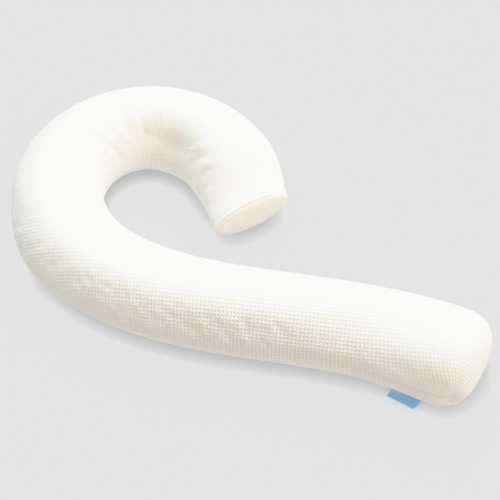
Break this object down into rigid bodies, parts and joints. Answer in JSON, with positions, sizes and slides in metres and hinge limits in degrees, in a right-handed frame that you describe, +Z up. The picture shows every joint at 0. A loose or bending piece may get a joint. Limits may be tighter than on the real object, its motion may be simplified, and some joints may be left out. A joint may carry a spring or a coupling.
{
  "type": "body pillow",
  "caption": "J-shaped body pillow: a long filled tube in white waffle cotton that hooks round at its head, closed by an oval end panel, with a bare blue tape label in its low seam.",
  "frame": {"origin": "on the surface that the pillow lies on, under the middle of its bounding box", "axes": "+X along the shank towards the tail, +Y towards the crown of the hook, +Z up"},
  "size_m": [1.1324, 0.6646, 0.1723],
  "materials": {
    "waffle_cotton": "matt off-white waffle weave",
    "end_panel_cotton": "matt cream cotton",
    "label_tape": "soft blue woven tape"
  },
  "bodies": {
    "root": {"pillow_body": "waffle_cotton", "hook_end_panel": "end_panel_cotton", "side_label": "label_tape"}
  },
  "joints": []
}
